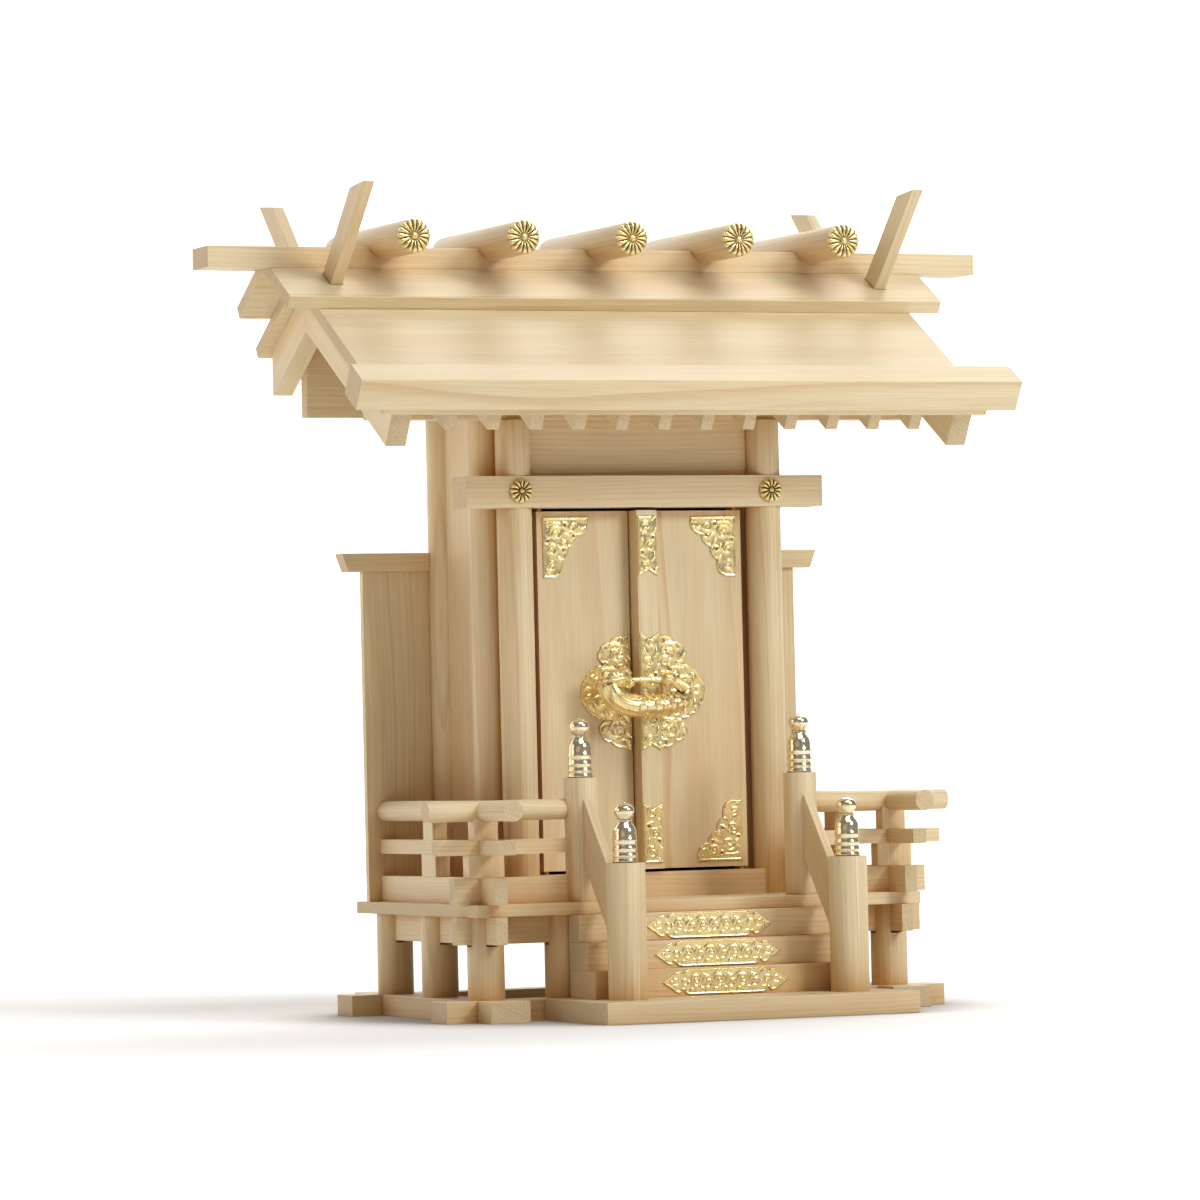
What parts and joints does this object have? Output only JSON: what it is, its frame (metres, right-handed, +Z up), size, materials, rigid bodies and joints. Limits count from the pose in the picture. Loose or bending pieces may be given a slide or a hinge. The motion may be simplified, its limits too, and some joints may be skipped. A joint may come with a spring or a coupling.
{
  "type": "household shinto altar shrine",
  "caption": "Household altar shrine in pale cypress: gabled roof with crossed finials, paired doors, railed deck and stair, gilt fittings.",
  "frame": {"origin": "on the ground under the middle of the whole shrine, front to back and side to side", "axes": "+Z up, +X to the right seen from the front, front towards -Y"},
  "size_m": [0.49, 0.3052, 0.4765],
  "materials": {
    "cypress": "planed, unfinished, satin",
    "gilt": "gilt, pressed relief, polished",
    "pale_gilt": "pale gilt, mirror polished"
  },
  "bodies": {
    "shrine": {"base_front_rail": "cypress", "base_rear_rail": "cypress", "base_side_rails": "cypress", "stair_platform": "cypress", "lower_step": "cypress", "middle_step": "cypress", "upper_step": "cypress", "step_plates": "gilt", "deck_posts": "cypress", "deck_side_beams": "cypress", "deck_cross_beams": "cypress", "deck_board": "cypress", "rear_posts": "cypress", "middle_posts": "cypress", "front_posts": "cypress", "side_walls": "cypress", "back_wall": "cypress", "front_wall": "cypress", "door_sill": "cypress", "lintel": "cypress", "lintel_studs": "gilt", "transom_panel": "cypress", "front_purlin": "cypress", "rear_purlin": "cypress", "front_roof": "cypress", "rear_roof": "cypress", "eave_bar": "cypress", "rafters": "cypress", "front_bargeboards": "cypress", "rear_bargeboards": "cypress", "front_ridge_cover": "cypress", "rear_ridge_cover": "cypress", "ridge_beam": "cypress", "ridge_logs": "cypress", "log_caps": "gilt", "crossed_finials": "cypress", "side_screens": "cypress", "screen_caps": "cypress", "side_rails": "cypress", "front_rails": "cypress", "railing_struts": "cypress", "stair_posts": "cypress", "stair_post_finials": "pale_gilt", "stair_rails": "cypress"},
    "left_leaf": {"left_door": "cypress", "left_door_plates": "gilt"},
    "right_leaf": {"right_door": "cypress", "right_door_plates": "gilt", "door_lock": "gilt"}
  },
  "joints": [
    {"name": "right_leaf_hinge", "type": "hinge", "parent": "shrine", "child": "right_leaf", "pos_m": [0.06175, 0.01014, 0.186], "axis": [0, 0, 1], "range_deg": [0, 60]},
    {"name": "left_leaf_hinge", "type": "hinge", "parent": "shrine", "child": "left_leaf", "pos_m": [-0.06175, 0.01014, 0.186], "axis": [0, 0, 1], "range_deg": [-60, 0]}
  ],
  "couplings": [
    {"joint": "left_leaf_hinge", "follows": "right_leaf_hinge", "ratio": -1}
  ]
}
